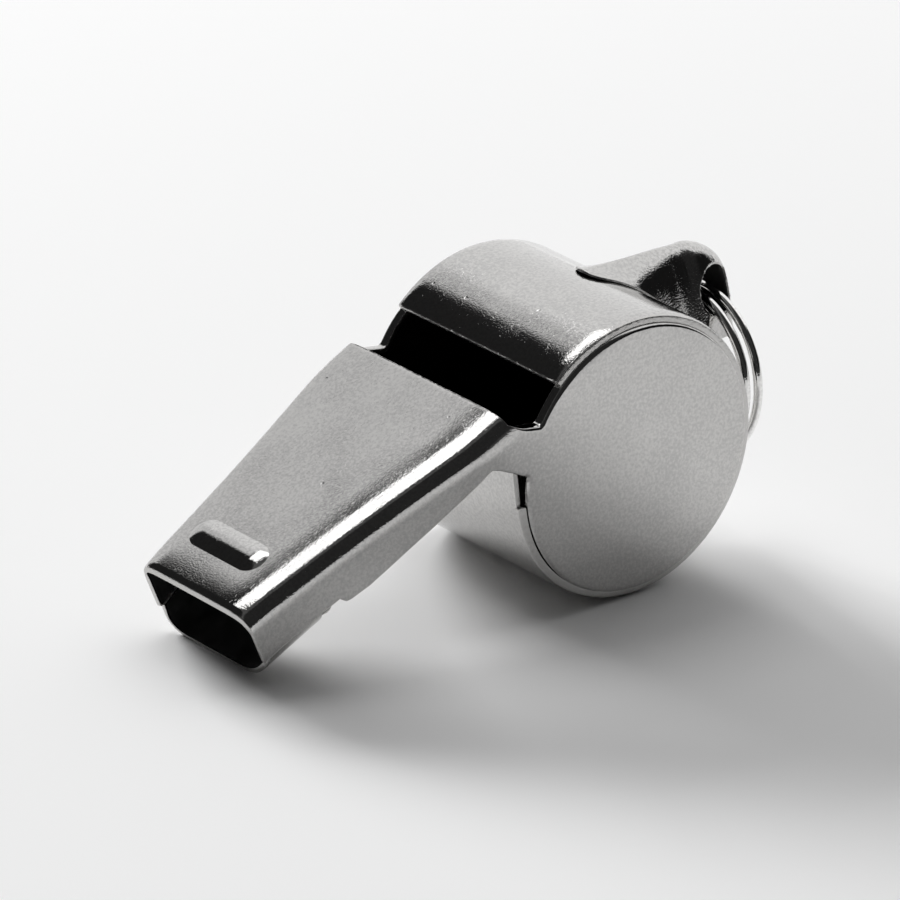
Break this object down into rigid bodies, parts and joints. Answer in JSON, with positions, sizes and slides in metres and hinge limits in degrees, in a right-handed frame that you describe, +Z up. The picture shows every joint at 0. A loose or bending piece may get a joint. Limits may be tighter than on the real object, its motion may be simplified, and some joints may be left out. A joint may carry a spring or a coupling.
{
  "type": "sports whistle",
  "caption": "Pressed-metal pea whistle with a flared mouthpiece, round barrel, lip window, hooded lanyard loop and a split ring that swings in its eye.",
  "frame": {"origin": "centre of the overall box, on the surface that the barrel and the tip of the mouthpiece lie on", "axes": "+X from the mouthpiece towards the lanyard loop, +Y along the barrel axis towards the blower's left, +Z up"},
  "size_m": [0.045, 0.0174, 0.0201],
  "materials": {
    "nickel_plate": "bright nickel plate on pressed brass, slightly grainy",
    "spring_wire": "bright plated steel wire",
    "cork": "dark granular cork"
  },
  "bodies": {
    "whistle": {"top_pressing": "nickel_plate", "barrel_strip": "nickel_plate", "lanyard_loop": "nickel_plate"},
    "ring": {"split_ring": "spring_wire"},
    "pea": {"cork_pea": "cork"}
  },
  "joints": [
    {"name": "ring_swing", "type": "hinge", "parent": "whistle", "child": "ring", "pos_m": [0.0203, 0, 0.01642], "axis": [0, 1, 0], "range_deg": [-243, 8]},
    {"name": "pea_orbit", "type": "hinge", "parent": "whistle", "child": "pea", "pos_m": [0.0081, 0, 0.01], "axis": [0, 1, 0], "continuous": true}
  ]
}
